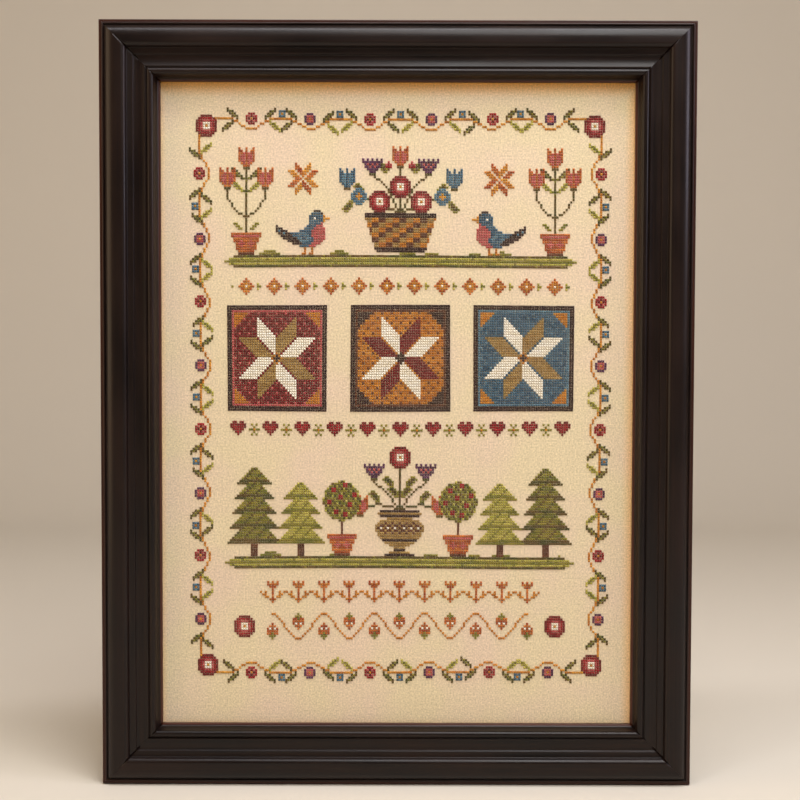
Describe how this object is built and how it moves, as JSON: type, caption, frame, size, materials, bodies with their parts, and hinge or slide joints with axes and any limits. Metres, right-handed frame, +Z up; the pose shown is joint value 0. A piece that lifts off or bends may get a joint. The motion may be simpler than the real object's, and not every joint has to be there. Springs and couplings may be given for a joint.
{
  "type": "framed cross stitch sampler with its wall frame",
  "caption": "Stitched linen sampler stretched on a board inside a dark mitred wood moulding frame, hung flat on a wall.",
  "frame": {"origin": "on the back face of the top rail, halfway along it, where the frame lies against the wall", "axes": "+Z up, +Y towards the wall, so the stitched front faces -Y; X along the top rail"},
  "size_m": [0.415, 0.028, 0.535],
  "materials": {
    "frame_wood": "dark espresso stain under a satin lacquer, worn reddish at the sight edge",
    "linen": "evenweave linen, unbleached cream, 30 threads to the inch, with counted cross stitch in cotton floss",
    "floss": "two strands of cotton floss in counted cross stitch, in golds, reds, blues, greens and browns",
    "board": "plain pale paper-faced mounting board"
  },
  "bodies": {
    "root": {"rail_top": "frame_wood", "rail_bottom": "frame_wood", "rail_left": "frame_wood", "rail_right": "frame_wood", "linen": "linen", "backing_board": "board"}
  },
  "joints": []
}
